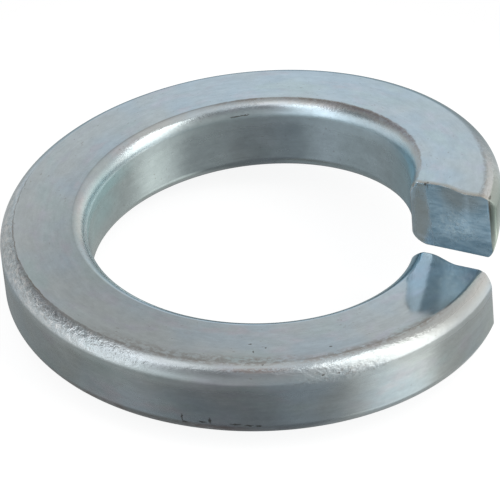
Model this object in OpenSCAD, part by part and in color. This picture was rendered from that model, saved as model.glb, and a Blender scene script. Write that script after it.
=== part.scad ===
// Helical spring lock washer: one turn of rolled keystone wire, sheared from its coil.
// +Z runs along the bore axis, +X out through the cut, and the origin is the middle of the bore.
// The raised end lies just past the cut at positive Y, and the wire sinks on its way round to the
// lower end, just short of the cut at negative Y.

/* [Ring] */
// Diameter of the bore
bore_d = 32.5; // [24:0.5:42]
// Radial width of the wire, from the bore wall to the outer wall
section_w = 8.75; // [7:0.05:12]
// Thickness of the wire, halfway between its two walls
section_t = 7.9; // [6:0.1:10]
// How much thicker the wire is at the bore wall than at the outer wall
keystone = 0.5; // [0:0.1:1]

/* [Coil] */
// How much more than its own thickness the wire climbs in one turn
coil_opening = 0; // [-1:0.1:4]

/* [Rounded corners] */
// Radius of the wire's two upper corners
corner_top = 1.45; // [0.8:0.05:2]
// Radius of the wire's two lower corners
corner_bottom = 1.75; // [0.8:0.05:2]

/* [Sheared ends] */
// How far the cut's inner part is stepped back on the upper face
cut_step = 1.15; // [0:0.05:2]
// Radial length over which the step eases in
step_run = 3.2; // [2:0.1:6]
// Distance from the bore wall to the middle of the step, on the raised end
step_in_raised = 4.6; // [3:0.1:5]
// The same distance on the lower end
step_in_lower = 3.6; // [3:0.1:5]
// How far the cut has leant by the lower face, along the outer wall
lean_outer = 0.9; // [0:0.1:3]
// How far the cut has leant by the lower face, along the bore wall
lean_bore = 2.9; // [0:0.1:3]
// Opening between the two cut faces at the bore wall, as if they stood level
gap_bore = 0.1; // [0.1:0.1:2]
// The same opening at the outer wall
gap_outer = 1.1; // [0.1:0.1:3]
// Radius worn on the edges of the two cut faces
end_round = 0.25; // [0.1:0.05:0.5]

/* [Smoothness] */
// Sections placed along the turn
turn_steps = 84; // [48:12:108]
// Steps round each rounded corner
corner_steps = 4; // [3:1:5]
// Steps across the flat of each face
flat_steps = 7; // [5:1:8]
// Steps round the worn edge of a cut face
round_steps = 3; // [2:1:4]

/* [Hidden] */
zinc = [0.66, 0.71, 0.74];

bore_r = bore_d / 2;
rim_r = bore_r + section_w;
pitch = section_t + coil_opening;
corner_max = max(corner_top, corner_bottom);
// A corner stops this many degrees short of upright, which leaves a faint line along its wall
corner_break = 12;
// The swept wire stands this far proud of its walls until the walls are turned true
wall_stock = 0.15;
// Reach of the turning tools past the ends of the wire
tool_reach = 2;

// Half the wire's thickness at radius r
function half_t(r) =
    section_t / 2 + keystone / 2 * (bore_r + section_w / 2 - r) / section_w;

// Depth of a corner of radius c below its face, at distance d in from the wall
function corner_drop(c, d) = d >= c ? 0 : c - sqrt(c * c - (c - d) * (c - d));

// Radii at which a section drawn in by inset is sampled: corner, flat, corner
function radii(inset) =
    let (
        c = corner_max - inset,
        corner = [
            for (i = [0 : corner_steps])
                c * (1 - cos(corner_break + (90 - corner_break) * i / corner_steps))
        ],
        inner = bore_r + inset,
        outer = rim_r - inset
    )
    concat(
        [for (d = corner) inner + d],
        [for (i = [1 : flat_steps - 1]) inner + c + (outer - inner - 2 * c) * i / flat_steps],
        [for (i = [corner_steps : -1 : 0]) outer - corner[i]]
    );

// The upper (side 1) or lower (side -1) face of the section as [radius, height] points, from a
// point on the bore wall to one on the outer wall
function face(side, inset) =
    let (
        c = (side > 0 ? corner_top : corner_bottom) - inset,
        stock = inset > 0 ? 0 : wall_stock,
        inner = bore_r + inset,
        outer = rim_r - inset,
        top = [
            for (r = radii(inset))
                [r, half_t(r) - inset - corner_drop(c, min(r - inner, outer - r))]
        ],
        first = top[0],
        last = top[len(top) - 1],
        slope = tan(corner_break),
        start = [inner - stock, first[1] - (first[0] - inner + stock) / slope],
        end = [outer + stock, last[1] - (outer + stock - last[0]) / slope]
    )
    [for (p = concat([start], top, [end])) [p[0], side * p[1]]];

// The closed section: out along the upper face and back along the lower one
function section(inset) =
    let (upper = face(1, inset), lower = face(-1, inset), n = len(lower))
    concat(upper, [for (i = [n - 1 : -1 : 0]) lower[i]]);

// A smooth step from 0 to 1 as u goes from 0 to 1
function ease(u) = let (v = min(1, max(0, u))) v * v * (3 - 2 * v);

// Distance of the cut from the XZ plane at radius r and height z in the section. It is stepped
// on the upper face and straight on the lower one, with straight lines between them.
function cut_y(r, z, step_in) =
    let (
        down = (half_t(r) - z) / (2 * half_t(r)),
        stepped = cut_step * ease((bore_r + step_in + step_run / 2 - r) / step_run),
        straight = lean_outer + (lean_bore - lean_outer) * (rim_r - r) / section_w
    )
    stepped * (1 - down) + straight * down;

// How far the lower end stands back from the raised one at radius r
function gap(r) = gap_bore + (gap_outer - gap_bore) * (r - bore_r) / section_w;

// Where section point p lies at share f of the turn, moved on by run along the ring
function place(p, f, run) =
    let (
        r = p[0],
        raised = asin(cut_y(r, p[1], step_in_raised) / r),
        lower = asin((cut_y(r, p[1], step_in_lower) - gap(r)) / r),
        turn = 360 * f + raised * (1 - f) + lower * f + run / r * 180 / PI
    )
    [r * cos(turn), r * sin(turn), p[1] + pitch * (0.5 - turn / 360)];

// Sections of the worn edge of an end as [share, run, inset], from the cut face inwards
function worn_edge(share, way) = [
    for (i = [0 : round_steps])
        let (a = 90 * i / round_steps)
        [share, way * end_round * (1 - cos(a)), end_round * (1 - sin(a))]
];

// All sections along the turn, as [share, run, inset], from the raised end to the lower one
function stations() =
    let (raised = worn_edge(0, 1), lower = worn_edge(1, -1))
    concat(
        raised,
        [for (i = [1 : turn_steps - 1]) [i / turn_steps, 0, 0]],
        [for (i = [round_steps : -1 : 0]) lower[i]]
    );

// Two triangles across the gap between the point pairs a, b and c, d
function strip(a, b, c, d) = [[a, b, c], [a, c, d]];

// The swept wire, with its walls still carrying their stock
module wire() {
    rings = [for (s = stations()) [for (p = section(s[2])) place(p, s[0], s[1])]];
    n = len(rings[0]);
    last = (len(rings) - 1) * n;
    skin = [
        for (k = [0 : len(rings) - 2], i = [0 : n - 1])
            let (j = (i + 1) % n)
            each strip(k * n + i, (k + 1) * n + i, (k + 1) * n + j, k * n + j)
    ];
    raised_cut = [
        for (i = [0 : n / 2 - 2]) each strip(i, i + 1, n - 2 - i, n - 1 - i)
    ];
    lower_cut = [
        for (i = [0 : n / 2 - 2])
            each strip(last + n - 1 - i, last + n - 2 - i, last + i + 1, last + i)
    ];
    polyhedron([for (ring = rings) each ring], concat(skin, raised_cut, lower_cut), convexity = 6);
}

// The washer: the wire with its outer wall and its bore turned true
module washer() {
    reach = section_t + abs(pitch) + 2 * tool_reach;
    color(zinc)
    difference() {
        intersection() {
            wire();
            cylinder(h = reach, r = rim_r, center = true, $fn = 180);
        }
        cylinder(h = reach, r = bore_r, center = true, $fn = 180);
    }
}

washer();
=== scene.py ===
"""A helical spring lock washer, zinc plated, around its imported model.

The washer is one surface worked out with numpy: the closed outline of the rolled wire, carried
along one left-hand turn and shut by the two sheared ends. All lengths are in metres.
"""

import math
from types import SimpleNamespace

import bpy
import numpy as np
from mathutils import Matrix, Vector


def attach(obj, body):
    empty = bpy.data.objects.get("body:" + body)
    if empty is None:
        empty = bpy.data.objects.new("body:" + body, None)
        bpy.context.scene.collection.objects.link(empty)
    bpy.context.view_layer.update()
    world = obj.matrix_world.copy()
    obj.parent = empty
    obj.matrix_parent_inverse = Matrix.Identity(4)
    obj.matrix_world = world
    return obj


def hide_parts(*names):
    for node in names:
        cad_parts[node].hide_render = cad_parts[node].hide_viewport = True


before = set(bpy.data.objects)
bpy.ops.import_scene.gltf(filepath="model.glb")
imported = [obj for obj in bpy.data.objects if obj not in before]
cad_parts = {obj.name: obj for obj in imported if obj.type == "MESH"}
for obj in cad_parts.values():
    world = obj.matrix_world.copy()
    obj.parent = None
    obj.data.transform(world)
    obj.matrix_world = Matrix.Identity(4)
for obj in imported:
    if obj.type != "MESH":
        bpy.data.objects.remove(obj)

bl_info = {
    "name": "Spring lock washer",
    "version": (1, 0, 0),
    "blender": (4, 5, 0),
    "location": "3D View > Sidebar > Washer",
    "description": "Makes a zinc-plated helical spring lock washer and its studio",
    "category": "Object",
}

MM = 0.001
PIECE = "spring_washer"
NODE = "washer"
SLOT = "zinc_plated_steel"

# Steps of the washer's grid: round half a corner, across a face, up a wall, round the worn edge
# of a cut, and along the wire
CORNER_STEPS = 8
FACE_STEPS = 40
WALL_STEPS = 28
EDGE_STEPS = 6
WIRE_STEPS = 400
# Angles at which a rounded corner meets the wall and the face, in degrees up from the wall
WALL_BREAK = 9
CREASE = 75
# Steps along the upper face, the outer wall, the lower face and the bore wall, corners included
SIDE_STEPS = (2 * CORNER_STEPS + FACE_STEPS, 2 * CORNER_STEPS + WALL_STEPS) * 2

# At a share x of its run, a worn edge is drawn in by (1 - x) to this power
DRAWN_POWER = 1.7
# Share of the rim's worn radius that is also run along the wire
RIM_RUN = 0.8
# The ripple from rolling: seed, number of waves, the shortest and the longest, how much tighter
# they are across the wire, its share on the faces, what the corners add, and its greatest height
RIPPLE_WAVES = (3, 24, 3.5 * MM, 14 * MM)
RIPPLE_ACROSS = 1.3
RIPPLE_FACES = 0.35
RIPPLE_CORNERS = 1.1
RIPPLE_LIMIT = 1.4
# The cuts' streaks: seed of the raised end's, number of waves, the shortest and the longest, their
# slant and tightness over the radius, and how steeply they start from the walls and the faces
TEAR_SEED = 11
TEAR_WAVES = (14, 0.5 * MM, 1.6 * MM)
TEAR_SLANT = 0.12
TEAR_RADIAL = 0.22
TEAR_START = (14, 12)


def length(name, description, millimetres):
    """A length that a user may change, kept in metres."""
    return bpy.props.FloatProperty(
        name=name,
        description=description,
        default=millimetres * MM,
        min=0,
        precision=5,
        subtype="DISTANCE",
        unit="LENGTH",
    )


def angle(name, description, degrees):
    """An angle that a user may change, kept in radians."""
    default = math.radians(degrees)
    return bpy.props.FloatProperty(
        name=name, description=description, default=default, subtype="ANGLE", unit="ROTATION"
    )


def colour(name, description, red, green, blue):
    """A colour that a user may change, as linear light."""
    return bpy.props.FloatVectorProperty(
        name=name,
        description=description,
        default=(red, green, blue),
        min=0,
        max=1,
        size=3,
        subtype="COLOR",
    )


def share(name, description, default, top=1.0):
    """A plain share that a user may change."""
    return bpy.props.FloatProperty(
        name=name, description=description, default=default, min=0, max=top, subtype="FACTOR"
    )


class WasherWire(bpy.types.PropertyGroup):
    """Sizes of the rolled wire and its turn."""

    bore: length("Bore", "Diameter of the bore", 32.5)
    width: length("Width", "Radial width of the wire", 8.75)
    thickness: length("Thickness", "Thickness of the wire, halfway between its walls", 7.9)
    keystone: length("Keystone", "How much thicker the wire is at the bore wall", 0.5)
    climb: length("Climb", "How far the wire climbs in its one turn", 7.9)
    corner_top: length("Upper rim corner", "Radius of the upper corner at the rim", 1.45)
    corner_bottom: length("Lower corners", "Radius of the two lower corners", 1.42)
    corner_reach: length("Upper bore corner, reach", "Reach of the upper corner at the bore", 1.36)
    corner_bore: length("Upper bore corner, height", "Height of the upper corner at the bore", 1.48)
    corner_end: length("Upper bore corner, end", "Its reach where the raised end is cut", 0.75)
    end_reach: length("Lower rim corner, reach", "Reach of that corner at the raised end", 0.95)
    end_height: length("Lower rim corner, height", "Height of that corner at the raised end", 2.8)
    end_run: length("End run", "Length over which the corners change to the raised end", 16)
    ripple: length("Ripple", "Depth of the rolled surface's slow ripple", 0.012)


class WasherEnds(bpy.types.PropertyGroup):
    """Sizes of the two sheared ends."""

    step: length("Step", "How far the cut's inner part is stepped back on the upper face", 1.15)
    step_run: length("Step run", "Radial length over which the step eases in", 3.2)
    step_in_raised: length("Step in, raised", "Bore wall to the step on the raised end", 4.6)
    step_in_lower: length("Step in, lower", "Bore wall to the step on the lower end", 3.6)
    lean_outer: length("Lean, outer", "Lean of the cut along the outer wall", 0.9)
    lean_bore: length("Lean, bore", "Lean of the cut along the bore wall", 2.9)
    gap_bore: length("Gap, bore", "Opening between the cuts at the bore wall", 0.1)
    gap_outer: length("Gap, outer", "Opening between the cuts at the outer wall", 1.1)
    worn_top: length("Worn edge, top", "Length worn on a cut's upper edge", 0.07)
    worn_corner: length("Worn edge, bore corner", "Length worn where it meets the bore", 0.22)
    worn_outer: length("Worn edge, outer", "Length worn on a cut's outer edge", 0.75)
    worn_low: length("Worn edge, outer, low", "Length worn at that edge's foot", 0.5)
    worn_bottom: length("Worn edge, bottom", "Length worn on a cut's lower edge", 0.06)
    worn_bore: length("Worn edge, bore", "Length worn on a cut's bore edge", 0.07)
    tear: length("Tear", "Depth of the streaks that the shear left", 0.03)


class WasherFinish(bpy.types.PropertyGroup):
    """Colours and gloss of the plating."""

    zinc: colour("Zinc", "Colour of the plating", 0.42, 0.465, 0.49)
    cut: colour("Cut", "Colour of the plating on the sheared ends", 0.285, 0.42, 0.515)
    # Partly painted light: a real burnished zone, made paler than its own colour so that its
    # reflection in the upper face shows bright
    cut_bore_burnish_and_painted_light: colour("Cut, bore", "Colour of the sheared ends beside the bore", 0.63, 0.765, 0.865)
    soil: colour("Rolling mark", "Colour of the dull marks beside the corners", 0.17, 0.14, 0.11)
    dull: colour("Dull zinc", "Colour of the worn zinc on the corners", 0.36, 0.35, 0.33)
    gloss: share("Roughness", "Roughness of the faces", 0.12)
    beads: length("Beads", "Depth of the beaded texture on the corners", 0.038)
    cut_gloss: share("Cut, metal", "How metallic the torn sheared ends look", 0.4)
    scratches: length("Scratches", "Depth of the drawing scratches along the wire", 0.0025)
    streaks: length("Streaks", "Depth of the streaks torn across the cuts' plating", 0.03)


class WasherStudio(bpy.types.PropertyGroup):
    """The camera and the lights."""

    azimuth: angle("Azimuth", "Direction of the camera round the bore axis", 18.797)
    elevation: angle("Elevation", "Height of the camera above the washer's middle plane", 33.365)
    roll: angle("Roll", "Turn of the camera about its own line of sight", 3.932)
    distance: length("Distance", "Camera to the middle of the bore", 261.1)
    focal: bpy.props.FloatProperty(
        name="Focal length",
        description="Focal length of the lens in millimetres",
        default=187.35,
        subtype="DISTANCE_CAMERA",
    )
    panels: share("Panels", "Light of the two soft panels at the sides", 1.0, 4.0)
    fill: share("Fill", "Light from all round", 0.62, 4.0)


def half_thickness(wire, r):
    """Half the middle thickness, plus half the keystone as a line falling from bore to rim."""
    middle = wire.bore / 2 + wire.width / 2
    return wire.thickness / 2 + wire.keystone / 2 * (middle - r) / wire.width


def corner_size(wire, outer, side, at_end):
    """Reach and height of one of the four rounded corners, at the raised end or elsewhere."""
    if side < 0:
        return (wire.end_reach, wire.end_height) if outer and at_end else (wire.corner_bottom,) * 2
    if outer:
        return (wire.corner_top,) * 2
    return wire.corner_end if at_end else wire.corner_reach, wire.corner_bore


def corner_arc(wire, outer, side, angles, at_end):
    """Points of a rounded corner, part of an ellipse that meets the wall and the face at slight
    creases, at angles w and b. At angle a it is in from the wall by its reach times
    (cos w - cos a)/(cos w - cos b), and below the face by its height times
    (sin b - sin a)/(sin b - sin w)."""
    reach, tall = corner_size(wire, outer, side, at_end)
    a = np.radians(angles)
    w, b = math.radians(WALL_BREAK), math.radians(CREASE)
    inward = reach * (math.cos(w) - np.cos(a)) / (math.cos(w) - math.cos(b))
    r = wire.bore / 2 + wire.width - inward if outer else wire.bore / 2 + inward
    drop = tall * (math.sin(b) - np.sin(a)) / (math.sin(b) - math.sin(w))
    return r, side * (half_thickness(wire, r) - drop)


def outline(wire, at_end):
    """The closed section as radii and heights, at the raised end or elsewhere: out along the
    upper face, down the outer wall, in along the lower face and up the bore wall. Each side runs
    from the middle of one corner to the middle of the next, and its last point is left to the
    side that follows."""
    middle = (WALL_BREAK + CREASE) / 2
    to_face = np.linspace(middle, CREASE, CORNER_STEPS + 1)
    to_wall = np.linspace(middle, WALL_BREAK, CORNER_STEPS + 1)
    sides = (
        (False, 1, True, 1, to_face, FACE_STEPS),
        (True, 1, True, -1, to_wall, WALL_STEPS),
        (True, -1, False, -1, to_face, FACE_STEPS),
        (False, -1, False, 1, to_wall, WALL_STEPS),
    )
    radii, heights = [], []
    for outer_a, side_a, outer_b, side_b, angles, steps in sides:
        ra, za = corner_arc(wire, outer_a, side_a, angles, at_end)
        rb, zb = corner_arc(wire, outer_b, side_b, angles[::-1], at_end)
        t = np.linspace(0, 1, steps + 1)[1:-1]
        radii += [ra, ra[-1] + (rb[0] - ra[-1]) * t, rb[:-1]]
        heights += [za, za[-1] + (zb[0] - za[-1]) * t, zb[:-1]]
    return np.concatenate(radii), np.concatenate(heights)


def outward(r, z):
    """Outward unit normals of the closed outline, square to the chord between neighbours."""
    dr = np.roll(r, -1) - np.roll(r, 1)
    dz = np.roll(z, -1) - np.roll(z, 1)
    size = np.hypot(dr, dz)
    return -dz / size, dr / size


def ease(u):
    """A smooth step from 0 to 1: 3u^2 - 2u^3, with u held between 0 and 1."""
    u = np.clip(u, 0, 1)
    return u * u * (3 - 2 * u)


def cut_turn(wire, ends, r, z, lower):
    """Turn at which the cut meets radius r and section height z. The cut's distance from the XZ
    plane is a smooth step on the upper face and a line on the lower one, mixed by height, and the
    turn is the arcsine of that distance over r. The lower end also stands back by the gap."""
    inner, rim = wire.bore / 2, wire.bore / 2 + wire.width
    half = half_thickness(wire, r)
    down = (half - z) / (2 * half)
    step_in = ends.step_in_lower if lower else ends.step_in_raised
    stepped = ends.step * ease((inner + step_in + ends.step_run / 2 - r) / ends.step_run)
    straight = ends.lean_outer + (ends.lean_bore - ends.lean_outer) * (rim - r) / wire.width
    y = stepped * (1 - down) + straight * down
    if lower:
        y = y - ends.gap_bore - (ends.gap_outer - ends.gap_bore) * (r - inner) / wire.width
    return np.arcsin(y / r) + (2 * math.pi if lower else 0)


def on_turn(wire, r, z, turn):
    """Cylinder coordinates made straight: the height sinks evenly by the climb in one turn."""
    height = z + wire.climb * (0.5 - turn / (2 * math.pi))
    return np.stack([r * np.cos(turn), r * np.sin(turn), height], axis=-1)


def ripple(seed, count, short, long, *lengths):
    """A sum of sine waves in seeded directions over the given lengths, between -1 and 1 or so.
    Wavelengths run from short to long, and longer waves are higher."""
    draw = np.random.default_rng(seed)
    total = 0.0
    power = 0.0
    for _ in range(count):
        wave = draw.uniform(short, long)
        way = draw.normal(size=len(lengths))
        way *= 2 * math.pi / wave / np.linalg.norm(way)
        phase = draw.uniform(0, 2 * math.pi)
        total = total + wave * np.sin(sum(k * x for k, x in zip(way, lengths)) + phase)
        power += wave * wave / 2
    return total / (2 * math.sqrt(power))


def stations():
    """Shares that place each ring of the grid: of the turn, of the raised end's worn radius run
    along the wire, the same for the lower end, and the shares of both that are drawn in. Over a
    worn edge, a ring is run along by a share x and drawn in by (1 - x) to a power."""
    run = np.linspace(0, 1, EDGE_STEPS + 1)
    g = np.linspace(0, 1, WIRE_STEPS + 1)[1:-1]
    drawn, none = (1 - run) ** DRAWN_POWER, np.zeros_like(run)
    raised = np.stack([none, run, none, drawn, none])
    body = np.stack([g, 1 - g, g, 0 * g, 0 * g])
    lower = np.stack([none + 1, none, run, none, drawn])[:, ::-1]
    return np.concatenate([raised, body, lower], axis=1)[:, :, None]


def end_patch(ring_r, ring_z):
    """A Coons patch inside the ring of an end: the mix of its upper and lower sides, plus the mix
    of its two walls, less the mix of its four corners. Rows run down and columns run out."""
    corners = np.cumsum((0,) + SIDE_STEPS)
    patch = []
    for x in (ring_r, ring_z):
        x = np.append(x, x[0])
        top, outer, bottom, inner = (x[a : b + 1] for a, b in zip(corners, corners[1:]))
        bottom, inner = bottom[::-1], inner[::-1]
        u = np.linspace(0, 1, len(top))[None, :]
        v = np.linspace(0, 1, len(outer))[:, None]
        faces = (1 - v) * top + v * bottom
        walls = (1 - u) * inner[:, None] + u * outer[:, None]
        ends = (1 - v) * ((1 - u) * top[0] + u * top[-1])
        ends = ends + v * ((1 - u) * bottom[0] + u * bottom[-1])
        patch.append(faces + walls - ends)
    return patch


def patch_index(first_ring, first_inside):
    """Vertex numbers of an end patch: its border is the ring's own, its inside is new."""
    n = sum(SIDE_STEPS)
    corners = np.cumsum((0,) + SIDE_STEPS)
    ring = first_ring + np.arange(n + 1) % n
    rows, columns = SIDE_STEPS[1] + 1, SIDE_STEPS[0] + 1
    index = np.zeros((rows, columns), int)
    index[0] = ring[corners[0] : corners[1] + 1]
    index[:, -1] = ring[corners[1] : corners[2] + 1]
    index[-1] = ring[corners[2] : corners[3] + 1][::-1]
    index[:, 0] = ring[corners[3] : corners[4] + 1][::-1]
    inside = np.arange((rows - 2) * (columns - 2)).reshape(rows - 2, columns - 2)
    index[1:-1, 1:-1] = first_inside + inside
    return index


def shear_tear(ends, r, z, seed):
    """Depth of the streaks on a cut: waves that are short in height and long in radius."""
    streaks = ripple(seed, *TEAR_WAVES, z + TEAR_SLANT * r, TEAR_RADIAL * r)
    return ends.tear * (0.5 + 0.5 * np.clip(streaks, -1, 1))


def washer_surface(wire, ends):
    """Vertices, faces and point values of the washer. The outline, drawn in and run along the
    wire by each station's shares, is placed on the turn, and each end is shut by its patch. At
    the rim an end is drawn in to one upright line, which leaves its corners there square."""
    r0, z0 = outline(wire, False)
    end_r, end_z = outline(wire, True)
    nr, nz = outward(r0, z0)
    top, bottom, bore = (np.clip(x, 0, 1) ** 2 for x in (nz, -nz, -nr))
    worn = ends.worn_top * top + ends.worn_bottom * bottom + ends.worn_bore * bore
    worn = worn + 4 * top * bore * ends.worn_corner
    worn_rim = ends.worn_outer + (ends.worn_low - ends.worn_outer) * (0.5 - z0 / wire.thickness)
    rim = np.clip(r0 - (wire.bore / 2 + wire.width - worn_rim), 0, None)
    place, run_raised, run_lower, in_raised, in_lower = stations()
    middle = wire.bore / 2 + wire.width / 2
    along = place * 2 * math.pi * middle
    narrow = ease(1 - along / wire.end_run)
    r0, z0 = r0 + (end_r - r0) * narrow, z0 + (end_z - z0) * narrow
    drawn = in_raised + in_lower
    run = (worn + RIM_RUN * rim) * (run_raised - run_lower)
    slow = ripple(*RIPPLE_WAVES, along, RIPPLE_ACROSS * r0, RIPPLE_ACROSS * z0)
    slow = np.clip(slow, -RIPPLE_LIMIT, RIPPLE_LIMIT)
    corner = 4 * nr**2 * nz**2
    depth = wire.ripple * (RIPPLE_FACES + RIPPLE_CORNERS * corner) * (0.5 - 0.5 * slow)
    r = r0 - nr * (worn * drawn + depth) - rim * drawn
    z = z0 - nz * (worn * drawn + depth)
    turn = cut_turn(wire, ends, r, z, False) * (1 - place)
    turn = turn + cut_turn(wire, ends, r, z, True) * place + run / r
    rings = on_turn(wire, r, z, turn)
    count, n = turn.shape
    cut = drawn**0.5 + 0 * turn
    back = (worn + rim) * np.where(place > 0.5, run_lower, run_raised) * (place * (1 - place) == 0)
    from_cut = back + np.minimum(along, along[-1] - along)

    points = [rings.reshape(-1, 3)]
    spots = [np.stack([turn * middle, r, z], -1).reshape(-1, 3)]
    masks = [np.stack([corner + 0 * turn, cut, from_cut / MM], -1).reshape(-1, 3)]
    s = np.arange(n)
    k = np.arange(count - 1)[:, None]
    s_next = (s + 1) % n
    faces = [
        np.stack([k * n + s, k * n + s_next, (k + 1) * n + s_next, (k + 1) * n + s], -1)
        .reshape(-1, 4)
    ]
    start = count * n
    for lower, row in ((False, 0), (True, count - 1)):
        patch_r, patch_z = end_patch(r[row], z[row])
        inside_r, inside_z = patch_r[1:-1, 1:-1], patch_z[1:-1, 1:-1]
        u = np.linspace(0, 1, patch_r.shape[1])[None, 1:-1]
        v = np.linspace(0, 1, patch_r.shape[0])[1:-1, None]
        edge = ease(np.minimum(u, 1 - u) * TEAR_START[0])
        edge = edge * ease(np.minimum(v, 1 - v) * TEAR_START[1])
        tear = shear_tear(ends, inside_r, inside_z, TEAR_SEED + lower) * edge
        patch_turn = cut_turn(wire, ends, inside_r, inside_z, lower)
        patch_turn = patch_turn + (-1 if lower else 1) * tear / inside_r
        points.append(on_turn(wire, inside_r, inside_z, patch_turn).reshape(-1, 3))
        spots.append(np.stack([patch_turn * middle, inside_r, inside_z], -1).reshape(-1, 3))
        masks.append(np.tile([0.0, 1.0, 0.0], (inside_r.size, 1)))
        index = patch_index(row * n, start)
        start += inside_r.size
        quads = np.stack([index[:-1, :-1], index[1:, :-1], index[1:, 1:], index[:-1, 1:]], -1)
        faces.append((quads[..., ::-1] if lower else quads).reshape(-1, 4))
    return tuple(np.concatenate(x) for x in (points, faces, spots, masks))


def surface_mesh(name, points, faces, spots, masks):
    """Puts the arrays into a smooth mesh, with its point attributes."""
    mesh = bpy.data.meshes.new(name)
    mesh.vertices.add(len(points))
    mesh.vertices.foreach_set("co", points.astype(np.float32).ravel())
    mesh.loops.add(faces.size)
    mesh.loops.foreach_set("vertex_index", faces.astype(np.int32).ravel())
    mesh.polygons.add(len(faces))
    mesh.polygons.foreach_set("loop_start", np.arange(0, faces.size, 4, dtype=np.int32))
    mesh.update(calc_edges=True)
    mesh.polygons.foreach_set("use_smooth", np.ones(len(faces), bool))
    wire_spot = mesh.attributes.new("wire", "FLOAT_VECTOR", "POINT")
    wire_spot.data.foreach_set("vector", (spots / MM).astype(np.float32).ravel())
    for column, label in enumerate(("corner", "cut", "from_cut")):
        mask = mesh.attributes.new(label, "FLOAT", "POINT")
        mask.data.foreach_set("value", masks[:, column].astype(np.float32))
    mesh.validate()
    return mesh


def shaded(colour, *factors):
    """A colour with each part multiplied by its own factor, or all by one."""
    factors = factors * 3 if len(factors) == 1 else factors
    return tuple(x * k for x, k in zip(colour, factors))


class Nodes:
    """Builds the node tree of a material or a world."""

    def __init__(self, owner):
        owner.use_nodes = True
        self.tree = owner.node_tree
        self.tree.nodes.clear()

    def node(self, kind, inputs=None, **settings):
        """Adds a node, and links or sets its named or numbered inputs."""
        made = self.tree.nodes.new("ShaderNode" + kind)
        for name, value in settings.items():
            setattr(made, name, value)
        for name, value in (inputs or {}).items():
            if isinstance(value, bpy.types.NodeSocket):
                self.tree.links.new(value, made.inputs[name])
            elif value is not None:
                made.inputs[name].default_value = value
        return made

    def add(self, kind, inputs=None, output=0, **settings):
        """Adds a node and gives back one of its outputs."""
        return self.node(kind, inputs, **settings).outputs[output]

    def sums(self, operation, a, b=None, c=None, clamp=False):
        """A Math node."""
        return self.add("Math", {0: a, 1: b, 2: c}, operation=operation, use_clamp=clamp)

    def vector(self, operation, a, b=None, c=None, scale=None, output=0):
        """A Vector Math node, whose numbers are on output 1."""
        inputs = {0: a, 1: b, 2: c, 3: scale}
        return self.add("VectorMath", inputs, output, operation=operation)

    def spread(self, value, low, high, to_low=0.0, to_high=1.0):
        """Eases a value from one range to another with a smooth step."""
        inputs = {"From Min": low, "From Max": high, "To Min": to_low, "To Max": to_high}
        return self.add(
            "MapRange", {"Value": value, **inputs}, interpolation_type="SMOOTHSTEP"
        )

    def band(self, value, start, full, full_end, end):
        """1 between full and full_end, easing to 0 at start and end."""
        return self.product(self.spread(value, start, full), self.spread(value, end, full_end))

    def product(self, first, *others):
        """The product of several values."""
        for value in others:
            first = self.sums("MULTIPLY", first, value)
        return first

    def either(self, first, *others):
        """The greatest of several values."""
        for value in others:
            first = self.sums("MAXIMUM", first, value)
        return first

    def grain(self, where, scale, stretch=(1, 1, 1), detail=2.0, rough=0.5, offset=(0, 0, 0)):
        """Noise between 0 and 1 over a vector in millimetres, stretched along its axes."""
        stretch = tuple(scale * x for x in stretch)
        moved = self.add("Mapping", {"Vector": where, "Location": offset, "Scale": stretch})
        inputs = {"Vector": moved, "Scale": 1.0, "Detail": detail, "Roughness": rough}
        return self.add("TexNoise", inputs)

    def spot(self, where, centre, half, soft=0.5):
        """1 inside an ellipsoid, easing to 0 outside it. All its lengths are in millimetres."""
        away = self.vector("DIVIDE", self.vector("SUBTRACT", where, centre), half)
        return self.spread(self.vector("LENGTH", away, output=1), 1 + soft, 1 - soft)

    def tint(self, factor, a, b):
        """Mixes two colours."""
        a, b = (x if isinstance(x, bpy.types.NodeSocket) else (*x, 1.0) for x in (a, b))
        return self.add("Mix", {0: factor, 6: a, 7: b}, 2, data_type="RGBA")

    def coats(self, base, *rows):
        """Lays colours over a base. A row is a colour and the factors of its mask."""
        for shade, *factors in rows:
            base = self.tint(self.product(*factors), base, shade)
        return base

    def bump(self, height, distance, normal=None):
        """A Bump node, with its distance in metres."""
        inputs = {"Strength": 1.0, "Distance": distance, "Height": height, "Normal": normal}
        return self.add("Bump", inputs)


# The plating. Its places are in millimetres: along the wire from the raised cut, out from the bore
# wall or in from the rim, and up from the middle of the section. A band has the places where it
# starts, is full, begins to fade and ends. A grain has its waves per millimetre.

# How far the edges of the marks wander, and how far the pale zone of a cut slants with height
WANDER = 0.09
SLANT = 0.09
# Middle of a noise's range, over which it is spread
MIDDLE = (0.3, 0.7)

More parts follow.
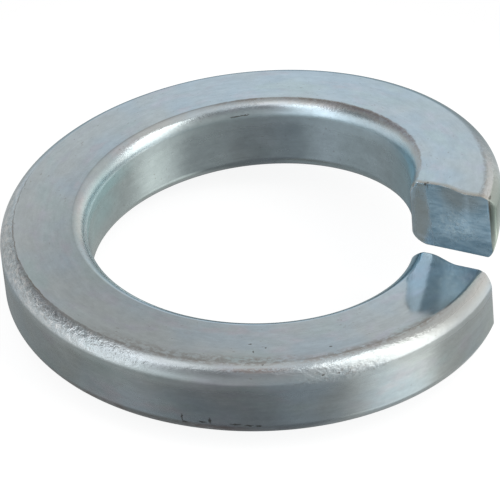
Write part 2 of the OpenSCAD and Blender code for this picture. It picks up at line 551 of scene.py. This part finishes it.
# Small dark marks: along the wire, in from the bore wall, section height, then the half sizes of
# each along those three
NICKS = (
    (1.3, 1.6, 4.0, 0.16, 0.16, 0.6),
    (1.5, 1.85, 4.0, 0.12, 0.1, 0.6),
    (40.1, 0.08, 2.86, 0.75, 0.4, 0.07),
    (38.9, 0.1, 2.9, 0.6, 0.4, 0.06),
    (103.2, 4.4, 3.9, 0.12, 0.08, 0.6),
    (103.5, 5.6, 3.9, 0.06, 0.16, 0.6),
    (104.6, 5.0, 3.9, 0.1, 0.08, 0.6),
    (110.3, 6.0, 3.9, 0.13, 0.07, 0.6),
    (104.2, 7.5, 3.8, 0.06, 0.1, 0.6),
    (108.8, 8.6, 2.75, 0.12, 0.3, 0.08),
    (110.1, 8.6, 2.7, 0.08, 0.3, 0.05),
    (97.6, 8.7, -2.0, 0.06, 0.6, 0.45),
    (97.8, 8.7, -2.4, 0.22, 0.6, 0.08),
    (99.2, 8.7, -2.15, 0.3, 0.6, 0.08),
    (99.8, 8.7, -1.95, 0.1, 0.6, 0.3),
    (101.8, 8.7, -2.2, 0.4, 0.6, 0.08),
    (102.8, 8.7, -2.3, 0.35, 0.6, 0.08),
    (103.6, 8.7, -2.35, 0.25, 0.6, 0.08),
    (0.6, 8.1, 3.3, 0.35, 0.07, 0.5),
    (0.5, 8.0, 2.4, 0.12, 0.12, 0.7),
)
# Size of the noise that bends the nicks' outlines, and its mean, by which they move with it
NICK_BEND = 0.3
NICK_SHIFT = 0.15


def wire_map(n, wire, ends):
    """The sockets that place every pattern on the wire, from the mesh's own values."""
    corner, cut, from_cut = (
        n.add("Attribute", output=2, attribute_name=name) for name in ("corner", "cut", "from_cut")
    )
    where = n.add("Attribute", output=1, attribute_name="wire")
    along, radius, height = n.node("SeparateXYZ", {0: where}).outputs
    bore, rim = wire.bore / 2 / MM, (wire.bore / 2 + wire.width) / MM
    wander = n.grain(where, 0.9, detail=4.0, rough=0.65)
    wander = n.spread(wander, 0.25, 0.75, -WANDER, WANDER)
    strayed = n.sums("ADD", radius, wander)
    slant = n.sums("MULTIPLY_ADD", height, SLANT, strayed)
    reach = n.spread(along, wire.end_run / MM, 0, wire.corner_reach / MM, wire.corner_end / MM)
    change = (ends.worn_outer - ends.worn_low) / wire.thickness
    outer_edge = n.sums("MULTIPLY_ADD", height, change, radius)
    limit = rim - (ends.worn_outer + ends.worn_low) / 2 / MM
    cut = n.product(cut, n.spread(outer_edge, limit + 0.12, limit + 0.02))
    return SimpleNamespace(
        corner=corner,
        cut=cut,
        plain=n.sums("SUBTRACT", 1.0, cut),
        from_cut=from_cut,
        where=where,
        along=along,
        radius=radius,
        height=height,
        bore=bore,
        rim=rim,
        crease=rim - wire.corner_top / MM,
        bore_wall=n.spread(radius, bore + 0.9, bore + 0.1),
        upper=n.spread(height, 1.2, 2.6),
        rimward=n.spread(radius, bore + 3.5, bore + 5.0),
        first_half=n.spread(along, 60, 50),
        wander=wander,
        strayed=strayed,
        across=n.sums("DIVIDE", n.sums("SUBTRACT", strayed, bore), reach),
        beside=n.spread(slant, bore + 2.05, bore + 1.65),
        fine=n.grain(where, 2.4, (0.7, 1, 1), detail=3.0, rough=0.7, offset=(2, 9, 4)),
        patches=n.grain(where, 0.2, detail=4.0, rough=0.65, offset=(7, 3, 1)),
    )


def beside_crease(n, m, places, *masks):
    """A band along the upper rim corner's crease, by its places out from it, times some masks."""
    return n.product(n.band(m.strayed, *(m.crease + x for x in places)), *masks)


def rolling_marks(n, m):
    """Masks of the dull marks: a thin line at each crease of the upper face, mottled bands along
    the outer one, soft bands on the corner at the bore, the wall's foot, the lip behind each cut,
    and the worn outer edge of the raised one, with a painted shadow line where a small burr
    overhangs it."""
    face = n.product(m.upper, m.plain)
    inner = n.product(
        n.band(m.across, 0.76, 0.93, 1.0, 1.2),
        n.spread(m.along, 55, 35, 0.0, 0.6),
        n.spread(m.along, 3, 11),
    )
    stretches = n.either(
        n.band(m.along, 60, 68, 80, 90), n.band(m.along, 106, 112, 120, 124), 0.25
    )
    outer = beside_crease(n, m, (-0.1, -0.02, 0.03, 0.1), stretches, 0.9)
    dark = beside_crease(n, m, (-0.12, 0.0, 0.15, 0.4), n.band(m.along, 74, 81, 86, 100), 0.45)
    rolled = n.either(
        beside_crease(n, m, (-1.5, -0.4, 0.1, 0.4), n.band(m.along, 86, 95, 103, 112)),
        beside_crease(n, m, (-0.8, -0.1, 0.2, 0.45), n.band(m.along, 104, 110, 119, 124)),
        beside_crease(n, m, (-0.35, -0.1, 0.1, 0.4), n.spread(m.along, 16, 8), 0.85),
    )
    foot = n.product(
        n.band(m.height, -3.9, -3.5, -2.7, -2.2), m.rimward, n.band(m.along, 72, 84, 99, 112)
    )
    dull = n.product(
        n.band(m.across, 0.3, 0.66, 0.96, 1.1),
        n.spread(m.along, 42, 34, 0.35, 1.0),
        n.spread(m.along, 90, 75),
    )
    lip = n.spread(n.sums("ADD", m.from_cut, m.wander), 0.7, 0.3)
    edge = n.product(n.spread(m.radius, m.rim - 0.8, m.rim - 0.6), m.plain, m.first_half)
    # Painted shadow: a dark line down the upper part of the raised cut's outer edge, where a small
    # burr overhangs the cut face
    painted_burr_shadow = n.product(
        n.spread(m.radius, m.rim - 0.68, m.rim - 0.6),
        m.first_half,
        n.band(m.from_cut, -0.2, -0.1, 0.05, 0.2),
        n.spread(m.height, 0.0, 3.0),
    )
    gritty = n.spread(m.fine, 0.34, 0.5)
    violet = n.product(n.band(m.across, 0.55, 0.82, 1.0, 1.14), n.band(m.along, 7, 14, 21, 32))
    return SimpleNamespace(
        lines=n.product(
            n.either(inner, outer), face, n.spread(m.patches, 0.35, 0.6, 0.25, 1.0)
        ),
        dark=n.product(dark, gritty, face),
        rolled=n.product(rolled, n.spread(m.fine, 0.36, 0.6), face),
        violet=n.product(violet, face),
        foot=n.product(foot, n.spread(m.patches, 0.35, 0.55, 0.5, 1.0)),
        dull=n.product(dull, face, n.spread(m.patches, 0.3, 0.55, 0.5, 1.0)),
        lip=n.product(lip, m.plain, n.spread(m.height, -3.2, -1.8), m.first_half),
        edge=n.product(edge, n.spread(m.from_cut, 7, 0.8)),
        painted_burr_shadow=n.product(painted_burr_shadow, gritty),
        grit=n.spread(m.fine, 0.35, 0.6, 0.4, 1.0),
    )


def crumple(n, m):
    """Mask of the crumpled skin on the corners. It is strongest on the near stretch of the upper
    outer corner, and patchy elsewhere."""
    strong = n.product(m.rimward, m.upper, n.band(m.along, 58, 76, 91, 97))
    late = n.spread(m.along, 98, 106, 0.0, 0.3)
    start = n.spread(m.along, 16, 4, 0.0, 0.5)
    mild = n.product(n.either(late, start), m.rimward)
    patchy = n.product(n.spread(m.patches, 0.35, 0.6, 0.05, 0.2), n.spread(m.height, 2.5, 3.1))
    skin = n.product(n.either(strong, mild, patchy), m.corner, m.plain)
    foot = n.product(n.band(m.height, 1.7, 2.2, 2.9, 3.4), m.rimward, 0.5)
    return n.either(skin, n.product(foot, n.band(m.along, 104.5, 109, 112, 117)))


def zinc_colour(n, m, zinc):
    """Colour of the clean plating: a slow drift of tint, the bore wall's cooler and greener
    stretches, then streaks and mottling."""
    drift = n.grain(m.where, 0.12, detail=3.0, offset=(5, 1, 8))
    pink = n.grain(m.where, 0.5, (0.5, 1, 1), detail=3.0, offset=(1, 4, 2))
    green = n.grain(m.where, 0.33, (0.5, 1, 1), detail=3.0, offset=(4, 7, 9))
    wall = n.product(m.bore_wall, m.plain)
    far = n.product(n.band(m.height, 0.5, 1.8, 2.4, 3.0), n.band(m.along, 54, 62, 80, 88))
    tip = n.product(n.band(m.along, 57, 63, 68, 74), n.spread(m.height, -2.5, 0.0), 0.7)
    last = n.product(n.spread(m.radius, m.bore + 1.5, m.bore + 1.2), m.upper, 0.8)
    base = n.coats(
        n.tint(
            n.spread(drift, 0.35, 0.65),
            shaded(zinc, 0.95, 1.0, 1.04),
            shaded(zinc, 1.03, 1.0, 0.96),
        ),
        (shaded(zinc, 1.04, 0.975, 1.0), n.spread(pink, 0.5, 0.72)),
        (shaded(zinc, 0.97, 1.015, 0.98), n.spread(green, 0.5, 0.72)),
        (shaded(zinc, 1.0, 1.1, 1.15), wall, n.spread(m.along, 42, 30)),
        (shaded(zinc, 1.0, 1.03, 1.0), wall, n.spread(m.along, 32, 44)),
        (shaded(zinc, 0.8, 1.05, 1.04), wall, n.either(far, tip)),
        (shaded(zinc, 0.58, 1.04, 1.22), wall, n.spread(m.along, 18, 5)),
        (shaded(zinc, 0.4, 0.72, 0.86), wall, n.spread(m.along, 5, 2.5)),
        (shaded(zinc, 0.45, 0.75, 0.9), last, n.spread(m.along, 120, 126)),
    )
    streak = n.grain(m.where, 2.2, (0.05, 1, 1), detail=4.0, rough=0.7, offset=(8, 2, 5))
    mottle = n.grain(m.where, 1.0, (0.55, 1, 1), detail=5.0, rough=0.75, offset=(3, 6, 2))
    shade = n.product(
        n.spread(streak, *MIDDLE, 0.97, 1.025),
        n.spread(mottle, *MIDDLE, 0.93, 1.05),
        n.spread(m.fine, *MIDDLE, 0.97, 1.02),
    )
    return n.vector("SCALE", base, scale=shade)


def skin_coats(n, m, marks, skin, dull):
    """Colours of the worn corners: dull bands, crumpled skin with its pits, and pale flakes and
    dark pits on the near left of the rim corner."""
    pitted = n.grain(m.where, 4.5, (0.7, 1, 1), detail=2.0, rough=0.6, offset=(9, 1, 6))
    left = n.product(m.corner, m.rimward, m.upper, n.band(m.along, 56, 68, 84, 92))
    return (
        (dull, marks.dull, marks.grit, 0.85),
        (shaded(dull, 1.4, 1.54, 1.7), skin, n.spread(m.fine, 0.4, 0.6), 0.9),
        (shaded(dull, 0.62, 0.57, 0.56), skin, n.spread(pitted, 0.44, 0.34), 0.9),
        (shaded(dull, 2.1, 2.0, 2.0), left, n.spread(m.fine, 0.5, 0.6), 0.8),
        (shaded(dull, 0.85, 0.78, 0.75), left, n.spread(m.fine, 0.46, 0.38), 0.7),
    )


def cut_colour(n, m, finish):
    """Colour of a sheared end: streaked blue, paler beside the bore, where a real burnished zone is
    lightened further as painted light for its reflection in the upper face, darker and browner at
    the top middle, and brighter and speckled in the middle."""
    streaks = n.grain(m.where, 1.5, (1, 0.35, 1.5), detail=5.0, rough=0.7)
    bright = n.spot(m.where, (0, m.bore + 4.6, -0.6), (30, 2.0, 2.0), 0.6)
    bright = n.product(bright, n.spread(m.fine, 0.4, 0.65), 0.6)
    # A darker, browner patch at the top middle of the cut
    worn = n.spot(m.where, (0, m.bore + 5.2, 3.4), (30, 2.2, 1.9), 0.5)
    # The zone beside the bore: a real burnished zone, lightened further as painted light for its
    # reflection in the upper face
    pale = n.tint(
        n.spread(m.fine, 0.35, 0.65),
        shaded(finish.cut_bore_burnish_and_painted_light, 0.95),
        shaded(finish.cut_bore_burnish_and_painted_light, 1.02),
    )
    return n.coats(
        n.tint(
            n.spread(streaks, *MIDDLE),
            shaded(finish.cut, 0.75, 0.8, 0.82),
            shaded(finish.cut, 1.35, 1.25, 1.2),
        ),
        (shaded(finish.cut, 1.9, 1.55, 1.35), bright),
        (shaded(finish.cut, 0.9, 0.66, 0.52), worn, 0.6),
        (pale, m.beside),
    )


def edge_coats(n, m, marks, soil, dull, zinc):
    """Colours of the cuts' edges and of the rim corner: the torn edge, the lip, the raised end's
    worn outer edge, made paler at its foot by painted light and darker at its top by painted shade,
    then the two shades of the corner."""
    torn = n.product(n.band(m.cut, 0.1, 0.4, 0.8, 0.98), n.spread(m.height, -3.4, -1.5), 0.7)
    torn = n.product(torn, n.spread(m.radius, m.rim - 0.5, m.rim - 0.9, 0.3, 1.0), marks.grit)
    edge = n.product(marks.edge, 0.9)
    # Mask of painted light: the raised end's worn outer edge, towards its foot
    foot = n.product(edge, n.spread(m.height, 1.0, -1.5), n.spread(m.from_cut, 3, 0.8))
    corner = n.product(m.corner, m.rimward, m.upper)
    near = n.product(corner, n.band(m.along, 45, 58, 104, 112), 0.5)
    return (
        (shaded(soil, 1.1), torn),
        (shaded(dull, 1.1, 1.0, 0.86), marks.lip, marks.grit, 0.55),
        (shaded(dull, 0.88, 1.1, 1.06), edge),
        # Painted light: that edge made paler towards its foot
        (shaded(dull, 1.65, 1.88, 1.8), foot),
        # Painted shade: that edge made darker towards its top
        (shaded(dull, 0.55, 0.68, 0.64), edge, n.spread(m.height, 0.0, 2.6), 0.9),
        (shaded(dull, 1, 1.06, 1.09), corner, n.spread(m.along, 108, 122, 0.3, 0.85)),
        (shaded(zinc, 0.8), near),
    )


def mark_coats(n, m, marks, soil, dull):
    """Colours of the stain, the rolling marks, the painted burr shadow, the nicks and the specks.
    """
    stain = n.spot(m.where, (103.5, m.bore + 8.0, 3.4), (2.4, 0.2, 0.5), 0.6)
    bent = n.add("TexNoise", {"Vector": m.where, "Scale": 4.0, "Detail": 2.0}, 1)
    bent = n.vector("MULTIPLY_ADD", bent, (NICK_BEND,) * 3, m.where)
    nicks = [
        n.spot(bent, (a + NICK_SHIFT, m.bore + r + NICK_SHIFT, h + NICK_SHIFT), half)
        for a, r, h, *half in NICKS
    ]
    specks = n.grain(m.where, 3.4, (0.6, 1, 1), detail=1.0, offset=(3, 3, 3))
    limit = n.spread(m.patches, 0.4, 0.65, 0.76, 0.69)
    specks = n.spread(n.sums("SUBTRACT", specks, limit), 0.0, 0.05)
    return (
        (shaded(soil, 1.4, 1.2, 1.3), stain, n.spread(m.fine, 0.35, 0.55), 0.6),
        (shaded(dull, 0.62, 0.6, 0.72), marks.violet, marks.grit, 0.8),
        (shaded(dull, 0.56, 0.48, 0.52), marks.foot, marks.grit, 0.85),
        (soil, marks.lines, marks.grit, 0.85),
        (shaded(soil, 1.55, 1.8, 2.15), marks.rolled, 0.75),
        # The dark mottled band by the crease, and the painted shadow line under the raised end's
        # burr
        (shaded(soil, 0.85), n.either(marks.dark, marks.painted_burr_shadow), 0.85),
        (shaded(soil, 0.5, 0.55, 0.6), n.either(*nicks), 0.85),
        (soil, specks, 0.3),
    )


def plate_colour(n, m, marks, skin, finish):
    """Base colour: the clean plating, the worn corners, the cuts, their edges and the marks."""
    zinc, soil, dull = (tuple(x) for x in (finish.zinc, finish.soil, finish.dull))
    return n.coats(
        zinc_colour(n, m, zinc),
        *skin_coats(n, m, marks, skin, dull),
        (cut_colour(n, m, finish), m.cut),
        *edge_coats(n, m, marks, soil, dull, zinc),
        *mark_coats(n, m, marks, soil, dull),
    )


def torn_zone(n, m):
    """Mask of the torn cuts, weaker on the burnished zone beside the bore."""
    return n.product(m.cut, n.spread(m.beside, 0, 1, 1.0, 0.5))


def plate_gloss(n, m, marks, finish):
    """Roughness: low on the faces, more on the walls, and most on the corners, marks and cuts."""
    cloud = n.grain(m.where, 0.5, (0.4, 1, 1), detail=4.0, rough=0.6, offset=(6, 6, 1))
    rough = n.spread(cloud, *MIDDLE, finish.gloss - 0.03, finish.gloss + 0.04)
    walls = n.either(m.bore_wall, n.spread(m.radius, m.rim - 0.9, m.rim - 0.1))
    seam = n.product(walls, n.band(m.height, 1.2, 2.2, 3.2, 4.0))
    corners = n.product(n.sums("POWER", m.corner, 0.4), n.spread(m.rimward, 0, 1, 0.35, 1.0))
    for mask, extra in (
        (n.spread(m.along, 108, 122), -0.03),
        (walls, 0.12),
        (n.either(corners, seam), 0.12),
        (n.either(marks.lines, marks.dull, marks.lip, marks.edge), 0.14),
    ):
        rough = n.sums("MULTIPLY_ADD", mask, extra, rough)
    return n.sums("MULTIPLY_ADD", torn_zone(n, m), 0.16, rough, clamp=True)


def plate_relief(n, m, skin, finish):
    """Bumps: crumpled corners, scratches drawn along the wire and the cuts' torn streaks."""
    bead = n.grain(m.where, 2.4, (0.8, 1, 1), detail=3.0, rough=0.65, offset=(4, 0, 2))
    drawn = n.grain(m.where, 5.0, (0.06, 1, 1), detail=3.0, rough=0.65)
    torn = n.grain(m.where, 3.0, (1, 0.25, 1.6), detail=4.0, rough=0.7)
    normal = n.bump(n.product(n.spread(bead, 0.32, 0.68), skin), finish.beads)
    normal = n.bump(n.product(drawn, m.plain), finish.scratches, normal)
    return n.bump(n.product(torn, torn_zone(n, m)), finish.streaks, normal)


def zinc_plate(wire, ends, finish):
    """Zinc over rolled spring steel. All its patterns follow the mesh's own values: the place on
    the wire, the corners, the cuts and the length back from a cut."""
    material = bpy.data.materials.new(SLOT)
    n = Nodes(material)
    m = wire_map(n, wire, ends)
    marks = rolling_marks(n, m)
    skin = crumple(n, m)
    torn = n.sums("SUBTRACT", m.cut, m.beside, clamp=True)
    dusty = n.product(torn, 1 - finish.cut_gloss)
    shader = {
        "Metallic": n.sums("SUBTRACT", 1.0, dusty, clamp=True),
        "Base Color": plate_colour(n, m, marks, skin, finish),
        "Roughness": plate_gloss(n, m, marks, finish),
        "Normal": plate_relief(n, m, skin, finish),
    }
    n.node("OutputMaterial", {"Surface": n.add("BsdfPrincipled", shader)})
    return material


class WASHER_OT_make_washer(bpy.types.Operator):
    """Make the washer's surface and its zinc plating in place of the CAD solid"""

    bl_idname = "washer.make_washer"
    bl_label = "Make the washer"

    def execute(self, context):
        scene = context.scene
        groups = scene.washer_wire, scene.washer_ends
        arrays = washer_surface(*groups)
        washer = bpy.data.objects.new(PIECE, surface_mesh(PIECE, *arrays))
        scene.collection.objects.link(washer)
        washer.data.materials.append(zinc_plate(*groups, scene.washer_finish))
        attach(washer, "root")
        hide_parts(NODE)
        return {"FINISHED"}


# The studio. Azimuth 0 is straight away from the camera and grows to the right, and elevation is
# above the washer's middle plane, both in degrees.

# The plane that the washer comes to rest on: its upward normal and its height along it
REST_UP = Vector((0.1045, -0.0462, 0.9935))
REST_HEIGHT = -6.285 * MM
# The floor on that plane: its radius, the shares of it between which it fades out, the grey that
# takes the shadow and the light that brings it up to white
FLOOR_RADIUS = 60 * MM
FLOOR_FADE = (0.7, 0.98)
FLOOR_GREY = 0.22
FLOOR_LIGHT = 0.86

# Where the camera aims, from the middle of the bore: right and up in its own picture
AIM = (-0.085 * MM, -1.331 * MM)
SENSOR_WIDTH = 36.0
CLIP = (0.01, 10.0)

PANEL_DISTANCE = 0.4
# The soft panels: azimuth and elevation, the angles covered across and up, radiance and colour
PANELS = {
    "right_panel": ((114, 22), (34, 82), 2.4, (1.0, 1.0, 0.98)),
    "left_panel": ((-118, 25), (24, 66), 1.38, (0.93, 0.98, 1.02)),
}

# What reflections see of the room, low and high, and of the table. Each is a base colour and then
# its glows: azimuth, elevation, outer and inner angle of the cone, and colour, which is one number
# for a grey.
LOW_ROOM = (
    (0.58, 0.59, 0.59),
    (25, 0, 78, 34, (0.36, 0.37, 0.37)),
    (-5, 16, 30, 12, (0.0, 0.07, 0.14)),
    (-4, 34, 16, 6, 0.06),
    (80, 20, 60, 25, (0.26, 0.24, 0.22)),
    (48, 18, 28, 8, (0.14, 0.06, 0.03)),
    (-95, 5, 52, 22, (0.48, 0.49, 0.50)),
    (4, -10, 34, 14, (-0.58, -0.54, -0.52)),
    (62, -9, 32, 10, 0.30),
    (180, 18, 45, 20, (-0.07, -0.06, -0.06)),
    (-145, 7, 13, 5, (0.74, 0.78, 0.82)),
    (-50, 20, 17, 6, (0.32, 0.32, 0.30)),
)
HIGH_ROOM = (
    (0.57, 0.57, 0.57),
    (80, 30, 70, 25, (0.30, 0.28, 0.26)),
    (-52, 52, 32, 12, (-0.18, -0.18, -0.17)),
    (-104, 62, 23, 8, (0.98, 0.98, 1.0)),
    (-4, 36, 16, 6, 0.07),
    (-2, 43.5, 7, 2, (-0.16, -0.15, -0.15)),
    (-10, 39, 12, 4, 0.08),
    (180, 46, 30, 14, (-0.30, -0.30, -0.29)),
    (180, 73, 22, 10, (0.20, 0.22, 0.24)),
    (-78, 42, 20, 8, (-0.25, -0.25, -0.24)),
    (0, 60, 50, 20, 0.06),
    (-40, 84, 34, 12, 0.24),
)
TABLE = (
    (0.20, 0.21, 0.22),
    (-78, -35, 52, 44, (0.13, 0.13, 0.11)),
    (-119, -36, 13, 5, (0.11, 0.11, 0.13)),
    (68, -35, 50, 34, (0.34, 0.34, 0.31)),
    (113, -42, 23, 9, (0.84, 0.86, 0.82)),
    (154, -33, 20, 8, (0.14, 0.15, 0.15)),
    (-120, -55, 20, 10, (-0.08, -0.10, -0.115)),
)
# Elevations between which the low room passes into the high one, and the table into the room
ROOM_RISE = (24, 44)
TABLE_RISE = (-31, -23)


def toward(studio, azimuth, elevation):
    """A unit vector in the row frame at an azimuth and an elevation."""
    a = math.radians(azimuth) - studio.azimuth
    e = math.radians(elevation)
    return Vector((math.sin(a) * math.cos(e), math.cos(a) * math.cos(e), math.sin(e)))


def place_camera(scene, studio):
    """Puts the camera at its azimuth and elevation, rolled and aimed a little below the bore."""
    a, e = studio.azimuth, studio.elevation
    back = Vector((math.sin(a) * math.cos(e), -math.cos(a) * math.cos(e), math.sin(e)))
    right = Vector((math.cos(a), math.sin(a), 0))
    up = back.cross(right)
    up, right = (
        up * math.cos(studio.roll) + right * math.sin(studio.roll),
        right * math.cos(studio.roll) - up * math.sin(studio.roll),
    )
    place = back * studio.distance
    back = (place - (AIM[0] * right + AIM[1] * up)).normalized()
    right = up.cross(back).normalized()
    up = back.cross(right)
    camera = bpy.data.objects.new("camera", bpy.data.cameras.new("camera"))
    camera.data.lens = studio.focal
    camera.data.sensor_width = SENSOR_WIDTH
    camera.data.clip_start, camera.data.clip_end = CLIP
    turned = Matrix((right, up, back)).transposed().to_4x4()
    camera.matrix_world = Matrix.Translation(place) @ turned
    scene.collection.objects.link(camera)
    scene.camera = camera


def soft_panel(scene, studio, name, place, angles, radiance, shade):
    """A rectangular soft light that faces the washer from an azimuth and elevation, and covers
    the given angles across and up. Its power is pi times its area times its radiance, so the
    radiance is what a mirror would show."""
    width, height = (2 * PANEL_DISTANCE * math.tan(math.radians(x) / 2) for x in angles)
    lamp = bpy.data.lights.new(name, "AREA")
    lamp.shape = "RECTANGLE"
    lamp.size, lamp.size_y = width, height
    lamp.energy = math.pi * width * height * radiance * studio.panels
    lamp.color = shade
    panel = bpy.data.objects.new(name, lamp)
    way = toward(studio, *place)
    facing = way.to_track_quat("Z", "Y").to_matrix().to_4x4()
    panel.matrix_world = Matrix.Translation(way * PANEL_DISTANCE) @ facing
    panel.visible_camera = False
    scene.collection.objects.link(panel)


def glows(n, way, studio, base, *rows):
    """A base colour plus one glow for each row, which eases in within its cone."""
    for azimuth, elevation, wide, narrow, shade in rows:
        axis = tuple(toward(studio, azimuth, elevation))
        dot = n.vector("DOT_PRODUCT", way, axis, output=1)
        factor = n.spread(dot, math.cos(math.radians(wide)), math.cos(math.radians(narrow)))
        shade = shade if isinstance(shade, tuple) else (shade,) * 3
        base = n.vector("ADD", base, n.vector("SCALE", shade, scale=factor))
    return base


def above(n, rise, elevations):
    """Eases from 0 to 1 between two elevations. The rise is the height of a unit vector."""
    return n.spread(rise, *(math.sin(math.radians(x)) for x in elevations))


def studio_world(scene, studio):
    """White behind the washer for the camera. Reflections see a pale room, brightest on its far
    side and at its sides, over the table's darker sheen. All other rays meet an even fill."""
    world = bpy.data.worlds.new("studio")
    world.cycles.sampling_method = "NONE"
    n = Nodes(world)
    way = n.add("TexCoord")
    rise = n.node("SeparateXYZ", {0: way}).outputs[2]
    low, high, table = (glows(n, way, studio, *rows) for rows in (LOW_ROOM, HIGH_ROOM, TABLE))
    room = n.tint(above(n, rise, ROOM_RISE), low, high)
    sky = n.tint(above(n, rise, TABLE_RISE), table, room)
    path = n.node("LightPath").outputs
    mirrored = n.either(path["Is Glossy Ray"], path["Is Transmission Ray"])
    shade = n.tint(mirrored, (studio.fill,) * 3, sky)
    shade = n.tint(path["Is Camera Ray"], shade, (1.0, 1.0, 1.0))
    light = n.add("Background", {"Color": shade, "Strength": 1.0})
    n.node("OutputWorld", {"Surface": light})
    scene.world = world


def pale_floor(radius):
    """Grey under the washer's soft shadow, brought up to white for the camera, and clear at the
    floor's rim."""
    material = bpy.data.materials.new("pale_floor")
    material.cycles.emission_sampling = "NONE"
    n = Nodes(material)
    path = n.node("LightPath").outputs
    seen = n.either(path["Is Camera Ray"], path["Is Glossy Ray"], path["Is Transmission Ray"])
    matt = n.add("BsdfDiffuse", {"Color": (FLOOR_GREY, FLOOR_GREY, FLOOR_GREY, 1)})
    shine = n.add("Emission", {"Color": (1, 1, 1, 1), "Strength": FLOOR_LIGHT})
    both = n.add("AddShader", {0: matt, 1: shine})
    lit = n.add("MixShader", {0: seen, 1: matt, 2: both})
    far = n.vector("LENGTH", n.add("TexCoord", output=3), output=1)
    fade = n.spread(far, *(radius * x for x in FLOOR_FADE))
    mixed = n.add("MixShader", {0: fade, 1: lit, 2: n.add("BsdfTransparent")})
    n.node("OutputMaterial", {"Surface": mixed})
    return material


def floor_disc(scene, radius):
    """A flat disc on the rest plane, in rings round the bore axis. To the camera it is white but
    for the washer's soft shadow, and it fades out towards its rim."""
    rings, spokes = 24, 96
    r = np.linspace(0, radius, rings + 1)[1:, None]
    a = np.linspace(0, 2 * math.pi, spokes, endpoint=False)[None, :]
    x, y = np.append(0, r * np.cos(a)), np.append(0, r * np.sin(a))
    z = (REST_HEIGHT - REST_UP.x * x - REST_UP.y * y) / REST_UP.z
    k, s = np.arange(rings - 1)[:, None] * spokes + 1, np.arange(spokes)[None, :]
    t = (s + 1) % spokes
    quads = np.stack([k + s, k + spokes + s, k + spokes + t, k + t], -1).reshape(-1, 4)
    fan = np.stack([0 * s, 1 + s, 1 + t], -1).reshape(-1, 3)
    mesh = bpy.data.meshes.new("floor")
    mesh.from_pydata(np.stack([x, y, z], -1).tolist(), [], fan.tolist() + quads.tolist())
    mesh.materials.append(pale_floor(radius))
    floor = bpy.data.objects.new("floor", mesh)
    floor.visible_glossy = False
    scene.collection.objects.link(floor)


class WASHER_OT_set_stage(bpy.types.Operator):
    """Set the pale floor, the soft lights, the backdrop and the camera"""

    bl_idname = "washer.set_stage"
    bl_label = "Set the stage"

    def execute(self, context):
        scene = context.scene
        studio = scene.washer_studio
        floor_disc(scene, FLOOR_RADIUS)
        for name, panel in PANELS.items():
            soft_panel(scene, studio, name, *panel)
        studio_world(scene, studio)
        place_camera(scene, studio)
        scene.view_settings.view_transform = "Standard"
        return {"FINISHED"}


class WASHER_PT_sidebar(bpy.types.Panel):
    """The washer's sizes, finish and stage"""

    bl_idname = "WASHER_PT_sidebar"
    bl_label = "Spring lock washer"
    bl_space_type = "VIEW_3D"
    bl_region_type = "UI"
    bl_category = "Washer"

    def draw(self, context):
        for group, title in GROUPS.items():
            box = self.layout.box()
            box.label(text=title)
            settings = getattr(context.scene, group)
            for name in settings.bl_rna.properties.keys():
                if name not in ("rna_type", "name"):
                    box.prop(settings, name)
        self.layout.operator(WASHER_OT_make_washer.bl_idname)
        self.layout.operator(WASHER_OT_set_stage.bl_idname)


GROUPS = {
    "washer_wire": "Wire",
    "washer_ends": "Sheared ends",
    "washer_finish": "Finish",
    "washer_studio": "Studio",
}
SETTINGS = (WasherWire, WasherEnds, WasherFinish, WasherStudio)
CLASSES = (*SETTINGS, WASHER_OT_make_washer, WASHER_OT_set_stage, WASHER_PT_sidebar)


def register():
    for made in CLASSES:
        bpy.utils.register_class(made)
    for group, settings in zip(GROUPS, SETTINGS):
        setattr(bpy.types.Scene, group, bpy.props.PointerProperty(type=settings))


def unregister():
    for group in GROUPS:
        delattr(bpy.types.Scene, group)
    for made in reversed(CLASSES):
        bpy.utils.unregister_class(made)


def main():
    """Makes the washer and its stage."""
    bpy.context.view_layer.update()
    register()
    bpy.ops.washer.make_washer()
    bpy.ops.washer.set_stage()


if __name__ == "__main__":
    main()
